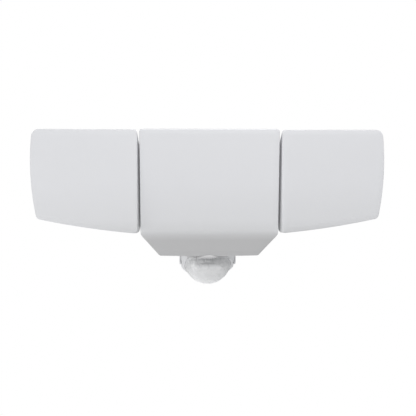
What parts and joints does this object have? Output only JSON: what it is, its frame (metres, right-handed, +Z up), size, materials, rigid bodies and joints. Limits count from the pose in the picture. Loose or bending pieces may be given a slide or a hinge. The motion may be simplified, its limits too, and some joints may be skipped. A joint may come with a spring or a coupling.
{
  "type": "motion sensor floodlight",
  "caption": "White wall floodlight with flat opal light panels in a row, the outer ones on pan and tilt knuckles, and a swivelling motion sensor dome below the middle panel.",
  "frame": {"origin": "centre of the wall plate on the wall", "axes": "+Y into the wall, the light faces -Y, +Z up, +X to the right as seen from the front"},
  "size_m": [0.3634, 0.096, 0.1605],
  "materials": {
    "opal_plastic": "satin white opal diffuser, fine moulded texture",
    "white_housing": "fine-textured white moulding",
    "black_rubber": "matt black rubber",
    "steel_screws": "zinc-plated steel",
    "heat_spreader": "mill-finish aluminium sheet",
    "led_board": "white solder mask",
    "led_package": "yellow phosphor in a white frame",
    "circuit_board": "green solder mask",
    "plate_plastic": "white glass-filled nylon",
    "terminal_plastic": "natural polyamide",
    "component_black": "black component cases",
    "bush_plastic": "natural acetal",
    "lens_milky": "milky polyethylene with fine moulded facets",
    "sensor_can": "plated steel can",
    "dial_plastic": "dark grey knobs"
  },
  "bodies": {
    "body": {"adjusters": "circuit_board", "cable_grommet": "black_rubber", "capacitors": "component_black", "centre_board": "led_board", "centre_cover": "opal_plastic", "centre_cover_screws": "steel_screws", "centre_gasket": "black_rubber", "centre_housing": "white_housing", "centre_leds": "led_package", "centre_tray": "heat_spreader", "driver_board": "circuit_board", "earth_screw": "steel_screws", "heat_sink": "heat_spreader", "inner_screws": "steel_screws", "left_pan_pin": "steel_screws", "lock_screws": "steel_screws", "pan_pin_clips": "steel_screws", "relay": "component_black", "right_pan_pin": "steel_screws", "terminal_block": "terminal_plastic", "terminal_screws": "steel_screws", "transformer": "component_black", "wall_gasket": "black_rubber", "wall_plate": "plate_plastic"},
    "left_knuckle": {"left_knuckle": "white_housing", "left_tilt_nut": "steel_screws"},
    "right_knuckle": {"right_knuckle": "white_housing", "right_tilt_nut": "steel_screws"},
    "sensor_swivel": {"swivel_cup": "white_housing", "swivel_clip": "steel_screws", "swivel_stem": "white_housing", "swivel_nut": "steel_screws", "sensor_o_ring": "black_rubber"},
    "sensor_head": {"sensor_ball": "white_housing", "sensor_bezel": "white_housing", "sensor_lens": "lens_milky", "lens_retainer": "bush_plastic", "sensor_board": "circuit_board", "pir_element": "sensor_can", "photocell": "sensor_can"},
    "time_dial": {"time_dial": "dial_plastic"},
    "lux_dial": {"lux_dial": "dial_plastic"},
    "range_dial": {"range_dial": "dial_plastic"},
    "left_head": {"left_cover": "opal_plastic", "left_gasket": "black_rubber", "left_housing": "white_housing", "left_tray": "heat_spreader", "left_board": "led_board", "left_leds": "led_package", "left_screws": "steel_screws", "left_tilt_bush": "bush_plastic"},
    "right_head": {"right_cover": "opal_plastic", "right_gasket": "black_rubber", "right_housing": "white_housing", "right_tray": "heat_spreader", "right_board": "led_board", "right_leds": "led_package", "right_screws": "steel_screws", "right_tilt_bush": "bush_plastic"}
  },
  "joints": [
    {"name": "left_pan", "type": "hinge", "parent": "body", "child": "left_knuckle", "pos_m": [-0.0605, -0.072, -0.005], "axis": [0, 0, 1], "range_deg": [-24, 4]},
    {"name": "left_tilt", "type": "hinge", "parent": "left_knuckle", "child": "left_head", "pos_m": [-0.0605, -0.072, -0.005], "axis": [0.9781, -0.2079, 0], "range_deg": [-20, 35]},
    {"name": "right_pan", "type": "hinge", "parent": "body", "child": "right_knuckle", "pos_m": [0.0605, -0.072, -0.005], "axis": [0, 0, 1], "range_deg": [-4, 24]},
    {"name": "right_tilt", "type": "hinge", "parent": "right_knuckle", "child": "right_head", "pos_m": [0.0605, -0.072, -0.005], "axis": [0.9781, 0.2079, 0], "range_deg": [-20, 35]},
    {"name": "sensor_pan", "type": "hinge", "parent": "body", "child": "sensor_swivel", "pos_m": [0, -0.048, -0.0815], "axis": [0, 0, 1], "range_deg": [-60, 60]},
    {"name": "sensor_tilt", "type": "hinge", "parent": "sensor_swivel", "child": "sensor_head", "pos_m": [0, -0.048, -0.0815], "axis": [1, 0, 0], "range_deg": [-10, 16]},
    {"name": "time_dial_turn", "type": "hinge", "parent": "body", "child": "time_dial", "pos_m": [-0.016, -0.0098, -0.0735], "axis": [0, 0, 1], "range_deg": [-135, 135]},
    {"name": "lux_dial_turn", "type": "hinge", "parent": "body", "child": "lux_dial", "pos_m": [0, -0.0098, -0.0735], "axis": [0, 0, 1], "range_deg": [-135, 135]},
    {"name": "range_dial_turn", "type": "hinge", "parent": "body", "child": "range_dial", "pos_m": [0.016, -0.0098, -0.0735], "axis": [0, 0, 1], "range_deg": [-135, 135]}
  ]
}
